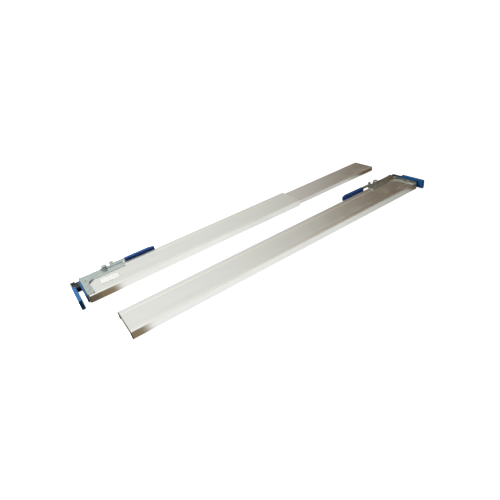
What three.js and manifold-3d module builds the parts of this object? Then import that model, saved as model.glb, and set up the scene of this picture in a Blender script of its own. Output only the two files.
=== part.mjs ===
// A pair of telescopic cabinet drawer slides, left and right hand, lying on a bench with their webs up.
// Millimetres, +Z up. Each hand is built in its own frame and the right hand is the left one mirrored:
//   x = 0 at the outer face of the latch bracket, +x along the slide, away from the latch,
//   y = 0 on the slide's centre line, +y towards the edge that carries the release tab,
//   z = 0 on the bench.
import * as THREE from 'three';
import { mergeVertices } from 'three/addons/utils/BufferGeometryUtils.js';
import Module from 'manifold-3d';

const wasm = await Module();
wasm.setup();

// ---- driving dimensions --------------------------------------------------------------------------
// The pair on the bench
const LEFT_SUPPORT_LENGTH = 322;
const RIGHT_SUPPORT_LENGTH = 450;
const LEFT_DRAWN_OUT = 36.5; // how far the left cabinet member has moved from its shut place
const PAIR_SPACING = 96; // between the two centre lines
const PAIR_STAGGER = 468; // between the two latch brackets, along the slides

// Clearances
const RUNNING = 0.3; // between pieces that slide or turn on each other
const BALL_PLAY = 0.25; // between a ball and its raceway
const CLEAR = 1; // how far a cutting tool reaches past what it cuts

// Support channel
const SUPPORT_WIDTH = 43;
const SUPPORT_HEIGHT = 9.7;
const SUPPORT_SHEET = 1.2;
const SUPPORT_BEND = 0.8; // centreline radius of its bends
const PANEL_HALF_WIDTH = 12.7; // the web's sunk middle panel
const PANEL_DEPTH = 0.3;
const PANEL_SLOPE = 0.8; // width of the slope from panel to band
const END_NOTCH_LENGTH = 13.4; // the far flange is cut away here for the latch block

// Cabinet member
const CABINET_LATCH_GAP = 4.5; // from the shut latch block to the cabinet member
const CABINET_END_GAP = 1.5; // from its other end to the end of the long support channel
const CABINET_SIDE_GAP = 1.2; // between its flange and the support channel's
const CABINET_SHEET = 1.2;
const CABINET_BEND = 0.9;
const CABINET_LIP = 2.9; // the lip that holds the balls
const WEB_GAP = 0.35; // between stacked webs

// Ball raceways
const BALL_DIAMETER = 2.8;
const CAGE_SHEET = 0.4;
const CAGE_BEND = 0.5;
const CAGE_BALLS = 7; // on each side
const BALL_PITCH = 28;
const CAGE_MARGIN = 10; // from the last ball to the cage's end

// Intermediate member
const INTERMEDIATE_INSET = 20; // from the cabinet member's latch end
const INTERMEDIATE_END_GAP = 14; // from the cabinet member's other end
const INTERMEDIATE_SHEET = 1.0;
const INTERMEDIATE_BEND = 0.9;
const RACEWAY_STEP = 0.4; // sideways step of the S-shaped flange
const INTERMEDIATE_FOOT = 0.9; // its lowest point above the bench
const OUTER_CAGE_INSET = 125; // from the cabinet member's latch end

// Chassis member
const CHASSIS_INSET = 5; // from each end of the intermediate member
const CHASSIS_SHEET = 1.0;
const CHASSIS_BEND = 0.9;
const CHASSIS_FLOAT = 0.3; // its web above the bench
const INNER_CAGE_INSET = 95; // from the intermediate member's latch end
const SCREW_HOLE_RADIUS = 2.25;
const SCREW_SLOT_LENGTH = 5; // between the centres of a slot's two ends
const SCREW_HOLES_AT = [35, 147, 290]; // from the chassis member's latch end
const SCREW_SLOTS_AT = [67, 203];

// Rear bumper
const BUMPER_LENGTH = 10;
const BUMPER_INSET = 3;
const BUMPER_HALF_WIDTH = 12;
const BUMPER_ROUND = 1;

// Disconnect lever on the chassis member
const DISCONNECT_AT = 320; // its rivet, from the chassis member's latch end
const DISCONNECT_LENGTH = 58;
const DISCONNECT_WIDTH = 6;
const DISCONNECT_THICKNESS = 1.2;
const DISCONNECT_HOOK = 2.4;
const DISCONNECT_RIVET_RADIUS = 1.5;
const DISCONNECT_HEAD_RADIUS = 2.6;
const DISCONNECT_HEAD_HEIGHT = 0.4;

// Latch bracket
const BRACKET_SHEET = 1.2;
const BRACKET_BEND = 1.4;
const BRACKET_LENGTH = 57;
const BRACKET_OVERHANG = 6.3; // past the support channel's far edge
const BRACKET_NEAR_INSET = 2; // from the support channel's near edge
const BRACKET_LEG = 9.4; // width of the leg across the channel's end
const BRACKET_LEG_NECK = 1.6; // how much narrower the leg is next to its far corner
const BRACKET_ARM_EDGE = 12; // y of the arm's inner edge
const BRACKET_CORNER = 10; // inner corner radius
const BRACKET_LEG_CORNER = 3; // radius at the leg's free corner
const BRACKET_FLANGE_FOOT = 1; // folded flanges end this far above the bench
const BRACKET_STEP_AT = 36.5; // its folded far edge ends here
const RIVET_RADIUS = 1.6;
const RIVET_RIM = 0.3; // height of its straight side
const RIVET_SHOULDER_RADIUS = 1.1;
const RIVET_SHOULDER_HEIGHT = 0.6;
const RIVET_HEIGHT = 0.7;
const RIVET_X = 5;
const RIVET_FAR_Y = 14.5;
const RIVET_NEAR_Y = -9;

// End trim
const TRIM_THICKNESS = 1.6;
const TRIM_BRIDGE = 2.5; // its height where it passes over the latch block
const TRIM_FOOT = 0.5; // its lowest point above the bench
const TRIM_DROP = 0.3; // its top below the bracket's top
const TRIM_ROUND = 0.4;
const TRIM_NEAR_INSET = 0.4; // from the bracket's near edge
const TRIM_FAR_Y = 18;

// Pull handle, its carrier and block
const LATCH_TRAVEL = 5;
const HANDLE_THICKNESS = 4.6;
const HANDLE_HEIGHT = 12.8;
const HANDLE_FLOAT = 0.4;
const HANDLE_NEAR_Y = -28;
const HANDLE_FAR_Y = 8;
const HANDLE_ROUND = 0.9;
const CARRIER_SHEET = 1.2;
const CARRIER_BEND = 0.8;
const CARRIER_HEIGHT = 6.6;
const CARRIER_END_HEIGHT = 8.6;
const SHELF_BEHIND = 7; // the carrier's shelf, from the stud's axis towards the handle
const SHELF_AHEAD = 4; // and away from it
const BLOCK_DEPTH = 12; // how far it reaches into the channel's end when shut
const BLOCK_NEAR_Y = 12;
const LATCH_FOOT = 1.2; // lowest point of block and carrier

// Release lever, stud and tab, which ride on the carrier. Their places are those with the latch drawn out.
const STUD_X = 33.3;
const STUD_EDGE = 3.5; // from the bracket's far edge to the stud's axis
const STUD_SHANK_RADIUS = 1.6;
const STUD_HEAD_RADIUS = 3.3;
const STUD_HEAD_HEIGHT = 1;
const STUD_CHAMFER = 0.4;
const LEVER_SHEET = 1;
const LEVER_HUB_RADIUS = 4;
const LEVER_WIDTH = 6;
const LEVER_NECK_WIDTH = 3.2;
const LEVER_REACH = 3; // past the bracket's end
const HOOK_X = 41;
const HOOK_WIDTH = 5;
const HOOK_HEIGHT = 2.8;
const TONGUE_HEIGHT = 4.1;
const TONGUE_LENGTH = 37;
const TONGUE_CLEARANCE = 1; // from the bracket's end
const TAB_LENGTH = 41.5;
const TAB_THICKNESS = 5.4;
const TAB_HEIGHT = 6.1;
const TAB_CHAMFER = 7; // length of the slope at its tip
const TAB_GAP = 0.5; // from the support channel's far edge
const RIGHT_LEVER_ANGLE = 1.5; // degrees, the right-hand tab stands out a little

// Torsion spring round the stud, between the lever's hub and the stud's head
const WIRE_RADIUS = 0.2;
const SPRING_TURNS = 2;
const SPRING_LEG_TURN = 0.1; // room for the part of a turn that the legs add
const SPRING_PITCH = 0.45;
const SPRING_LEG = 10; // from the coil to the tip that bears on the hook
const SPRING_FOOT_REACH = 5; // from the stud's axis to the leg that stands in the carrier's shelf
const SPRING_FOOT_DEPTH = 0.8; // below the shelf's top

// ---- values that follow from them ----------------------------------------------------------------
const HALF = SUPPORT_WIDTH / 2;
const CHANNEL_START = BRACKET_SHEET / 2 + BRACKET_BEND; // clear of the inside of the bracket's end bend
const BRACKET_TOP = SUPPORT_HEIGHT + BRACKET_SHEET;
const BRACKET_FAR = HALF + BRACKET_OVERHANG;
const BRACKET_NEAR = -HALF + BRACKET_NEAR_INSET;
const STUD_Y = BRACKET_FAR - STUD_EDGE;
const SHELF_TOP = SUPPORT_HEIGHT - RUNNING;
const SLOT_HALF = STUD_SHANK_RADIUS + RUNNING;
const SHUT_X = -TRIM_THICKNESS - RUNNING; // inner face of the shut handle
const SPRING_BASE = BRACKET_TOP + RUNNING + LEVER_SHEET + RUNNING;
const SPRING_HEIGHT = (SPRING_TURNS + SPRING_LEG_TURN) * SPRING_PITCH + 2 * WIRE_RADIUS;
const TRIM_TOP = BRACKET_TOP - TRIM_DROP;
const TAB_MIDDLE = HALF + TAB_GAP + TAB_THICKNESS / 2;
const LEVER_END = BRACKET_LENGTH + LEVER_REACH;
const TONGUE_START = BRACKET_LENGTH + TONGUE_CLEARANCE;
const TONGUE_TOP = BRACKET_TOP + RUNNING + LEVER_SHEET / 2;

const CABINET_START = BLOCK_DEPTH + CABINET_LATCH_GAP;
const CABINET_LENGTH = RIGHT_SUPPORT_LENGTH - CABINET_START - CABINET_END_GAP;
const INTERMEDIATE_LENGTH = CABINET_LENGTH - INTERMEDIATE_INSET - INTERMEDIATE_END_GAP;
const CHASSIS_LENGTH = INTERMEDIATE_LENGTH - 2 * CHASSIS_INSET;
const CABINET_HALF = HALF - SUPPORT_SHEET - CABINET_SIDE_GAP;
const CABINET_TOP = SUPPORT_HEIGHT - SUPPORT_SHEET - PANEL_DEPTH - WEB_GAP;
const CABINET_UNDER = CABINET_TOP - CABINET_SHEET; // underside of its web
const CABINET_FOOT = RUNNING;

const BALL_RADIUS = BALL_DIAMETER / 2;
const OUTER_BALL_Y = CABINET_HALF - CABINET_SHEET - BALL_PLAY - BALL_RADIUS;
const OUTER_BALL_Z = CABINET_FOOT + CABINET_SHEET + BALL_PLAY + BALL_RADIUS;
const OUTER_CAGE_TOP = CABINET_UNDER - RUNNING;

const INTERMEDIATE_HALF = OUTER_BALL_Y - BALL_RADIUS - BALL_PLAY; // outer face beside the outer balls
const INTERMEDIATE_TOP = OUTER_CAGE_TOP - CAGE_SHEET - RUNNING;
const INTERMEDIATE_UNDER = INTERMEDIATE_TOP - INTERMEDIATE_SHEET;
const INNER_CAGE_TOP = INTERMEDIATE_UNDER - RUNNING;
const INNER_BALL_Y = INTERMEDIATE_HALF - INTERMEDIATE_SHEET + RACEWAY_STEP - BALL_PLAY - BALL_RADIUS;

const CHASSIS_HALF = INNER_BALL_Y - BALL_RADIUS - BALL_PLAY;
const CHASSIS_TOP = INNER_CAGE_TOP - CAGE_SHEET - RUNNING;
const CHASSIS_WEB_TOP = CHASSIS_FLOAT + CHASSIS_SHEET;
const INNER_BALL_Z = (CHASSIS_FLOAT + CHASSIS_TOP) / 2;
const CAGE_LENGTH = (CAGE_BALLS - 1) * BALL_PITCH + 2 * CAGE_MARGIN;

// ---- finishes ------------------------------------------------------------------------------------
const finish = (color, roughness, metalness) =>
  new THREE.MeshStandardMaterial({ color, roughness, metalness });
const GALVANISED = finish(0xd6d8d3, 0.35, 0.85);
const ZINC = finish(0xb4c3c8, 0.4, 0.85);
const BALL_STEEL = finish(0xc9cccf, 0.2, 1.0);
const SPRING_STEEL = finish(0x8c9095, 0.35, 0.9);
const BLUE_PLASTIC = finish(0x1e62b4, 0.45, 0.0);
const BLACK_PLASTIC = finish(0x1a1b1d, 0.55, 0.0);
const RUBBER = finish(0x202020, 0.9, 0.0);

// ---- geometry helpers ----------------------------------------------------------------------------
const ALONG_X = new THREE.Matrix4().set(0, 0, 1, 0, 1, 0, 0, 0, 0, 1, 0, 0, 0, 0, 0, 1);
const ALONG_Y = new THREE.Matrix4().set(1, 0, 0, 0, 0, 0, -1, 0, 0, 1, 0, 0, 0, 0, 0, 1);
const BEND_STEPS = 4;
const CURVE_SEGMENTS = 4;
const BALL_SEGMENTS = [8, 5];
const COIL_POINTS = 12; // each turn
const HOLE_SIDES = 12;
const RIVET_SIDES = 16;
const STUD_SIDES = 24;
const QUARTER_TURN = Math.PI / 2;
const FULL_TURN = 2 * Math.PI;

// Keeps only the positions, with shared corners merged, so that a solid can be made of it.
function closed(geometry) {
  const bare = geometry.clone();
  bare.deleteAttribute('normal');
  bare.deleteAttribute('uv');
  return mergeVertices(bare, 1e-5);
}

function toSolid(geometry) {
  const merged = closed(geometry);
  return new wasm.Manifold(new wasm.Mesh({
    numProp: 3,
    vertProperties: new Float32Array(merged.attributes.position.array),
    triVerts: new Uint32Array(merged.index.array),
  }));
}

function toGeometry(solid) {
  const mesh = solid.getMesh();
  const geometry = new THREE.BufferGeometry();
  geometry.setAttribute('position', new THREE.BufferAttribute(new Float32Array(mesh.vertProperties), 3));
  geometry.setIndex(new THREE.BufferAttribute(new Uint32Array(mesh.triVerts), 1));
  return geometry;
}

const join = (...shapes) => toGeometry(shapes.map(toSolid).reduce((sum, next) => sum.add(next)));
const cut = (body, ...tools) => {
  const rest = tools.map(toSolid).reduce((left, tool) => left.subtract(tool), toSolid(body));
  return toGeometry(rest);
};
const common = (a, b) => toGeometry(toSolid(a).intersect(toSolid(b)));

// A profile of [radius, height] points turned about the upright axis at (x, y).
function turned(profile, x, y, sides) {
  const points = profile.map(([radius, height]) => new THREE.Vector2(radius, height));
  return new THREE.LatheGeometry(points, sides).rotateX(QUARTER_TURN).translate(x, y, 0);
}

// A box between two opposite corners.
function box(low, high) {
  const size = high.map((value, axis) => value - low[axis]);
  const middle = high.map((value, axis) => (value + low[axis]) / 2);
  return new THREE.BoxGeometry(...size).translate(...middle);
}

// An upright cylinder that stands on z = foot.
function post(x, y, foot, height, radius, sides = 20) {
  const cylinder = new THREE.CylinderGeometry(radius, radius, height, sides).rotateX(QUARTER_TURN);
  return cylinder.translate(x, y, foot + height / 2);
}

// The centreline of a bent sheet: straight runs between the points, an arc of the bend radius at each
// corner. Returns samples { p, n } with n the unit normal to the left of the path.
function bentPath(points, bend) {
  const samples = [];
  const along = (a, b) => b.clone().sub(a).normalize();
  const left = (d) => new THREE.Vector2(-d.y, d.x);
  const p = points.map(([u, v]) => new THREE.Vector2(u, v));
  samples.push({ p: p[0], n: left(along(p[0], p[1])) });
  for (let i = 1; i < p.length - 1; i++) {
    const before = along(p[i - 1], p[i]);
    const after = along(p[i], p[i + 1]);
    const turn = Math.atan2(before.cross(after), before.dot(after));
    const room = Math.min(p[i].distanceTo(p[i - 1]), p[i].distanceTo(p[i + 1])) * 0.49;
    const setback = Math.min(bend * Math.tan(Math.abs(turn) / 2), room);
    const radius = setback / Math.tan(Math.abs(turn) / 2);
    const start = p[i].clone().addScaledVector(before, -setback);
    const centre = start.clone().addScaledVector(left(before), Math.sign(turn) * radius);
    for (let k = 0; k <= BEND_STEPS; k++) {
      const angle = (turn * k) / BEND_STEPS;
      const direction = before.clone().rotateAround(new THREE.Vector2(), angle);
      const spoke = start.clone().sub(centre).rotateAround(new THREE.Vector2(), angle);
      samples.push({ p: centre.clone().add(spoke), n: left(direction) });
    }
  }
  const last = p.length - 1;
  samples.push({ p: p[last], n: left(along(p[last - 1], p[last])) });
  return samples;
}

// The outline of a sheet of even thickness that follows a bent path.
function sheetSection(points, thickness, bend) {
  const samples = bentPath(points, bend);
  const side = (sign) => samples.map(({ p, n }) => p.clone().addScaledVector(n, (sign * thickness) / 2));
  return new THREE.Shape([...side(-1), ...side(1).reverse()]);
}

const mirrored = (half) => [...half, ...half.map(([u, v]) => [-u, v]).reverse()];

function extrude(shape, depth, options = {}) {
  const plain = { depth, bevelEnabled: false, curveSegments: CURVE_SEGMENTS };
  return new THREE.ExtrudeGeometry(shape, { ...plain, ...options });
}

// A section in (y, z) carried from x0 over a length.
const alongX = (shape, x0, length) => extrude(shape, length).applyMatrix4(ALONG_X).translate(x0, 0, 0);

// A section in (x, z) carried from the near side y0 to the far side y1.
const alongY = (shape, y0, y1) => extrude(shape, y1 - y0).applyMatrix4(ALONG_Y).translate(0, y1, 0);

// An outline in (x, y) raised from z0 over a height.
const upright = (shape, z0, height) => extrude(shape, height).translate(0, 0, z0);

// A rectangle with rounded corners in its own plane.
function roundedRectangle(u0, v0, u1, v1, radius) {
  const shape = new THREE.Shape();
  shape.moveTo(u0 + radius, v0);
  shape.lineTo(u1 - radius, v0);
  shape.absarc(u1 - radius, v0 + radius, radius, -QUARTER_TURN, 0);
  shape.lineTo(u1, v1 - radius);
  shape.absarc(u1 - radius, v1 - radius, radius, 0, QUARTER_TURN);
  shape.lineTo(u0 + radius, v1);
  shape.absarc(u0 + radius, v1 - radius, radius, QUARTER_TURN, Math.PI);
  shape.lineTo(u0, v0 + radius);
  shape.absarc(u0 + radius, v0 + radius, radius, Math.PI, Math.PI + QUARTER_TURN);
  return shape;
}

// A shallow dome on a short cylinder, for a rivet head that stands on the bracket.
function rivetHead(x, y) {
  const profile = [
    [0, 0], [RIVET_RADIUS, 0], [RIVET_RADIUS, RIVET_RIM], [RIVET_SHOULDER_RADIUS, RIVET_SHOULDER_HEIGHT],
    [0, RIVET_HEIGHT],
  ];
  return turned(profile, x, y, RIVET_SIDES).translate(0, 0, BRACKET_TOP);
}

// ---- channels ------------------------------------------------------------------------------------
// The wide outer channel. Its web has two raised bands beside a sunk panel, and the far flange is cut
// back at the latch end.
function supportChannel(length) {
  const side = HALF - SUPPORT_SHEET / 2;
  const band = SUPPORT_HEIGHT - SUPPORT_SHEET / 2;
  const half = [
    [side, 0],
    [side, band],
    [PANEL_HALF_WIDTH + PANEL_SLOPE, band],
    [PANEL_HALF_WIDTH, band - PANEL_DEPTH],
  ];
  const section = sheetSection(mirrored(half), SUPPORT_SHEET, SUPPORT_BEND);
  const channel = alongX(section, CHANNEL_START, length - CHANNEL_START);
  const notch = box(
    [0, HALF - SUPPORT_SHEET - SUPPORT_BEND, -CLEAR],
    [END_NOTCH_LENGTH, HALF + CLEAR, SUPPORT_HEIGHT - SUPPORT_SHEET],
  );
  return cut(channel, notch);
}

// The narrower channel that telescopes in the support channel, with lips under its ball tracks.
function cabinetMember(start) {
  const side = CABINET_HALF - CABINET_SHEET / 2;
  const lip = CABINET_FOOT + CABINET_SHEET / 2;
  const half = [[CABINET_HALF - CABINET_LIP, lip], [side, lip], [side, CABINET_TOP - CABINET_SHEET / 2]];
  return alongX(sheetSection(mirrored(half), CABINET_SHEET, CABINET_BEND), start, CABINET_LENGTH);
}

// The middle member: a C section whose flanges step outwards below the outer balls, so that the upper
// half carries the outer balls and the lower half the inner ones.
function intermediateMember(start) {
  const upper = INTERMEDIATE_HALF - INTERMEDIATE_SHEET / 2;
  const lower = upper + RACEWAY_STEP;
  const half = [
    [lower, INTERMEDIATE_FOOT],
    [lower, INNER_BALL_Z],
    [upper, INNER_BALL_Z + 2 * RACEWAY_STEP],
    [upper, INTERMEDIATE_TOP - INTERMEDIATE_SHEET / 2],
  ];
  const section = sheetSection(mirrored(half), INTERMEDIATE_SHEET, INTERMEDIATE_BEND);
  return alongX(section, start, INTERMEDIATE_LENGTH);
}

// A round tool for a hole through the chassis member's web.
const throughWeb = (x) => post(x, 0, -CLEAR, CHASSIS_WEB_TOP + 2 * CLEAR, SCREW_HOLE_RADIUS);

// A slot along the web, for a drawer screw that has to be set by eye.
function screwSlot(x) {
  const end = x + SCREW_SLOT_LENGTH;
  const middle = box([x, -SCREW_HOLE_RADIUS, -CLEAR], [end, SCREW_HOLE_RADIUS, CHASSIS_WEB_TOP + CLEAR]);
  return join(middle, throughWeb(x), throughWeb(end));
}

// The member that carries the drawer or chassis: a shallow channel that opens into the slide.
function chassisMember(start) {
  const side = CHASSIS_HALF - CHASSIS_SHEET / 2;
  const half = [[side, CHASSIS_TOP], [side, CHASSIS_FLOAT + CHASSIS_SHEET / 2]];
  const channel = alongX(sheetSection(mirrored(half), CHASSIS_SHEET, CHASSIS_BEND), start, CHASSIS_LENGTH);
  const holes = SCREW_HOLES_AT.map((x) => throughWeb(start + x));
  const slots = SCREW_SLOTS_AT.map((x) => screwSlot(start + x));
  return cut(channel, ...holes, ...slots);
}

// A ball cage: a thin C strip whose two arms hold a row of balls each.
function ballCage(start, top, ballY, ballZ, foot) {
  const strip = alongX(
    sheetSection(mirrored([[ballY, foot], [ballY, top - CAGE_SHEET / 2]]), CAGE_SHEET, CAGE_BEND),
    start,
    CAGE_LENGTH,
  );
  const balls = [];
  for (let i = 0; i < CAGE_BALLS; i++) {
    const x = start + CAGE_MARGIN + i * BALL_PITCH;
    for (const side of [-1, 1]) {
      const ball = new THREE.SphereGeometry(BALL_RADIUS, ...BALL_SEGMENTS).rotateX(QUARTER_TURN);
      balls.push(ball.translate(x, side * ballY, ballZ));
    }
  }
  return join(strip, ...balls);
}

// The rubber block that stops the intermediate member at the latch end.
function rearBumper(start) {
  const low = CABINET_FOOT + CABINET_SHEET + RUNNING;
  const shape = roundedRectangle(-BUMPER_HALF_WIDTH, low, BUMPER_HALF_WIDTH, CABINET_UNDER, BUMPER_ROUND);
  return alongX(shape, start + BUMPER_INSET, BUMPER_LENGTH);
}

// ---- disconnect lever ----------------------------------------------------------------------------
// A flat plastic lever with a hook at one end, which turns on a rivet in the chassis member's web.
function disconnectLever(x) {
  const half = DISCONNECT_WIDTH / 2;
  const shape = new THREE.Shape();
  shape.absarc(x, 0, half, QUARTER_TURN, Math.PI + QUARTER_TURN);
  shape.lineTo(x + DISCONNECT_LENGTH - half, -half);
  shape.absarc(x + DISCONNECT_LENGTH - half, 0, half, -QUARTER_TURN, 0);
  shape.lineTo(x + DISCONNECT_LENGTH, half + DISCONNECT_HOOK);
  shape.lineTo(x + DISCONNECT_LENGTH - DISCONNECT_WIDTH, half);
  const hole = new THREE.Path();
  hole.absarc(x, 0, DISCONNECT_RIVET_RADIUS + RUNNING, 0, FULL_TURN, true);
  shape.holes.push(hole);
  return upright(shape, CHASSIS_WEB_TOP + RUNNING, DISCONNECT_THICKNESS);
}

function disconnectRivet(x) {
  const head = CHASSIS_WEB_TOP + DISCONNECT_THICKNESS + 2 * RUNNING;
  return join(
    post(x, 0, CHASSIS_WEB_TOP, head - CHASSIS_WEB_TOP, DISCONNECT_RIVET_RADIUS, RIVET_SIDES),
    post(x, 0, head, DISCONNECT_HEAD_HEIGHT, DISCONNECT_HEAD_RADIUS, RIVET_SIDES),
  );
}

// ---- latch bracket -------------------------------------------------------------------------------
// The bracket's plan: a leg across the channel's end with an S-shaped edge, and an arm along the far edge.
// The stud passes through a slot, which runs out where the folded far edge ends.
function bracketOutline() {
  const legRight = BRACKET_LEG;
  const neck = BRACKET_LEG - BRACKET_LEG_NECK;
  const armStart = neck + BRACKET_CORNER;
  const round = BRACKET_LEG_CORNER;
  const shape = new THREE.Shape();
  shape.moveTo(-CLEAR, BRACKET_NEAR);
  shape.lineTo(legRight - round, BRACKET_NEAR);
  shape.absarc(legRight - round, BRACKET_NEAR + round, round, -QUARTER_TURN, 0);
  const curveStart = BRACKET_ARM_EDGE - 2 * BRACKET_CORNER;
  const curveEnd = BRACKET_ARM_EDGE - BRACKET_CORNER;
  shape.lineTo(legRight, curveStart);
  shape.bezierCurveTo(
    legRight, curveStart + BRACKET_CORNER / 2,
    neck, curveEnd - BRACKET_CORNER / 2,
    neck, curveEnd,
  );
  shape.absarc(armStart, curveEnd, BRACKET_CORNER, Math.PI, QUARTER_TURN, true);
  shape.lineTo(BRACKET_LENGTH, BRACKET_ARM_EDGE);
  shape.lineTo(BRACKET_LENGTH, STUD_Y - SLOT_HALF);
  const slotStart = STUD_X - SPRING_FOOT_REACH - WIRE_RADIUS - RUNNING + SLOT_HALF;
  shape.absarc(slotStart, STUD_Y, SLOT_HALF, -QUARTER_TURN, QUARTER_TURN, true);
  shape.lineTo(BRACKET_STEP_AT, STUD_Y + SLOT_HALF);
  shape.lineTo(BRACKET_STEP_AT, BRACKET_FAR + CLEAR);
  shape.lineTo(-CLEAR, BRACKET_FAR + CLEAR);
  return shape;
}

// One sheet: the plate on the web, a flange folded down along the far edge and one across the end, with an
// opening in it for the latch block and the carrier.
function latchBracket() {
  const level = BRACKET_TOP - BRACKET_SHEET / 2;
  const farSide = BRACKET_FAR - BRACKET_SHEET / 2;
  const foldedPlate = sheetSection(
    [[farSide, BRACKET_FLANGE_FOOT], [farSide, level], [BRACKET_NEAR, level]],
    BRACKET_SHEET,
    BRACKET_BEND,
  );
  const endX = BRACKET_SHEET / 2;
  const overlap = BRACKET_BEND + BRACKET_SHEET;
  const endFold = sheetSection(
    [[overlap + CLEAR, level], [endX, level], [endX, BRACKET_FLANGE_FOOT]],
    BRACKET_SHEET,
    BRACKET_BEND,
  );
  const plate = common(
    alongX(foldedPlate, overlap, BRACKET_LENGTH - overlap),
    upright(bracketOutline(), -CLEAR, BRACKET_TOP + 2 * CLEAR),
  );
  const opening = box(
    [-CLEAR, BLOCK_NEAR_Y - RUNNING, -CLEAR],
    [BRACKET_SHEET + CLEAR, BRACKET_FAR - BRACKET_SHEET, SUPPORT_HEIGHT - SUPPORT_SHEET - RUNNING],
  );
  return cut(join(plate, alongY(endFold, BRACKET_NEAR, BRACKET_FAR)), opening);
}

// The moulded strip on the bracket's end, which bridges the opening for the latch block.
function endTrim() {
  const shape = roundedRectangle(-TRIM_THICKNESS, TRIM_FOOT, 0, TRIM_TOP, TRIM_ROUND);
  const opening = box(
    [-TRIM_THICKNESS - CLEAR, BLOCK_NEAR_Y - RUNNING, -CLEAR],
    [CLEAR, TRIM_FAR_Y + CLEAR, TRIM_TOP - TRIM_BRIDGE],
  );
  return cut(alongY(shape, BRACKET_NEAR + TRIM_NEAR_INSET, TRIM_FAR_Y), opening);
}

// ---- sliding latch -------------------------------------------------------------------------------
// The handle, the carrier and the block are drawn with the latch shut.
// The moulded pull handle: an upright bar.
function pullHandle() {
  const outer = SHUT_X - HANDLE_THICKNESS;
  const bar = roundedRectangle(outer, HANDLE_FLOAT, SHUT_X, HANDLE_HEIGHT, HANDLE_ROUND);
  return alongY(bar, HANDLE_NEAR_Y, HANDLE_FAR_Y);
}

// The carrier: a sheet that closes the handle's far end and runs back beside the channel, up to a folded
// shelf under the bracket that the stud is riveted to. The lever spring's foot stands in the shelf's hole.
function latchCarrier() {
  const outer = SHUT_X - HANDLE_THICKNESS;
  const arm = BRACKET_FAR - BRACKET_SHEET - RUNNING - CARRIER_SHEET / 2;
  const endX = outer + CARRIER_SHEET / 2;
  const studX = STUD_X + LATCH_TRAVEL;
  const armEnd = studX + SHELF_AHEAD;
  const section = sheetSection(
    [[endX, HANDLE_FAR_Y], [endX, arm], [armEnd, arm]],
    CARRIER_SHEET,
    CARRIER_BEND,
  );
  const strip = upright(section, LATCH_FOOT, CARRIER_END_HEIGHT);
  const trimmed = box([-RUNNING, 0, LATCH_FOOT + CARRIER_HEIGHT], [armEnd + CLEAR, BRACKET_FAR, BRACKET_TOP]);
  const level = SHELF_TOP - CARRIER_SHEET / 2;
  const fold = sheetSection(
    [[arm, LATCH_FOOT], [arm, level], [HALF + RUNNING, level]],
    CARRIER_SHEET,
    CARRIER_BEND,
  );
  const shelf = alongX(fold, studX - SHELF_BEHIND, SHELF_BEHIND + SHELF_AHEAD);
  const depth = CARRIER_SHEET + 2 * CLEAR;
  const footX = studX - SPRING_FOOT_REACH;
  const footHole = post(footX, STUD_Y, SHELF_TOP + CLEAR - depth, depth, WIRE_RADIUS + RUNNING, HOLE_SIDES);
  return cut(join(cut(strip, trimmed), shelf), footHole);
}

// The black block behind the handle, which guides the latch in the channel's end.
function latchBlock() {
  const outer = SHUT_X - HANDLE_THICKNESS + CARRIER_SHEET;
  const far = BRACKET_FAR - BRACKET_SHEET - 2 * RUNNING - CARRIER_SHEET;
  const top = SUPPORT_HEIGHT - SUPPORT_SHEET - PANEL_DEPTH - 2 * RUNNING;
  const shape = new THREE.Shape();
  shape.moveTo(SHUT_X, BLOCK_NEAR_Y);
  shape.lineTo(BLOCK_DEPTH, BLOCK_NEAR_Y);
  shape.lineTo(BLOCK_DEPTH, far);
  shape.lineTo(outer, far);
  shape.lineTo(outer, HANDLE_FAR_Y);
  shape.lineTo(SHUT_X, HANDLE_FAR_Y);
  return upright(shape, LATCH_FOOT, top - LATCH_FOOT);
}

// ---- release lever -------------------------------------------------------------------------------
// The stud stands on the carrier's shelf and comes up through the bracket's slot.
function pivotStud() {
  const head = SPRING_BASE + SPRING_HEIGHT + RUNNING;
  const top = head + STUD_HEAD_HEIGHT;
  const profile = [
    [0, SHELF_TOP],
    [STUD_SHANK_RADIUS, SHELF_TOP],
    [STUD_SHANK_RADIUS, head],
    [STUD_HEAD_RADIUS, head],
    [STUD_HEAD_RADIUS, top - STUD_CHAMFER],
    [STUD_HEAD_RADIUS - STUD_CHAMFER, top],
    [0, top],
  ];
  return turned(profile, STUD_X, STUD_Y, STUD_SIDES);
}

// The flat lever on the stud, with an upturned hook and a tongue folded down into the tab.
function releaseLever() {
  const foot = BRACKET_TOP + RUNNING;
  const near = STUD_Y - LEVER_WIDTH / 2;
  const far = STUD_Y + LEVER_WIDTH / 2;
  const body = box([HOOK_X, near, foot], [LEVER_END, far, foot + LEVER_SHEET]);
  const neck = box([STUD_X, near, foot], [HOOK_X + CLEAR, near + LEVER_NECK_WIDTH, foot + LEVER_SHEET]);
  const hub = post(STUD_X, STUD_Y, foot, LEVER_SHEET, LEVER_HUB_RADIUS);
  const hookTop = foot + LEVER_SHEET + HOOK_HEIGHT;
  const hook = box([HOOK_X, far - LEVER_SHEET, foot], [HOOK_X + HOOK_WIDTH, far, hookTop]);
  const tongue = box(
    [TONGUE_START, TAB_MIDDLE - LEVER_SHEET / 2, TONGUE_TOP - TONGUE_HEIGHT],
    [TONGUE_START + TONGUE_LENGTH, TAB_MIDDLE + LEVER_SHEET / 2, TONGUE_TOP],
  );
  const bore = post(STUD_X, STUD_Y, foot - CLEAR, LEVER_SHEET + 2 * CLEAR, STUD_SHANK_RADIUS + RUNNING);
  return cut(join(body, neck, hub, hook, tongue), bore);
}

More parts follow.
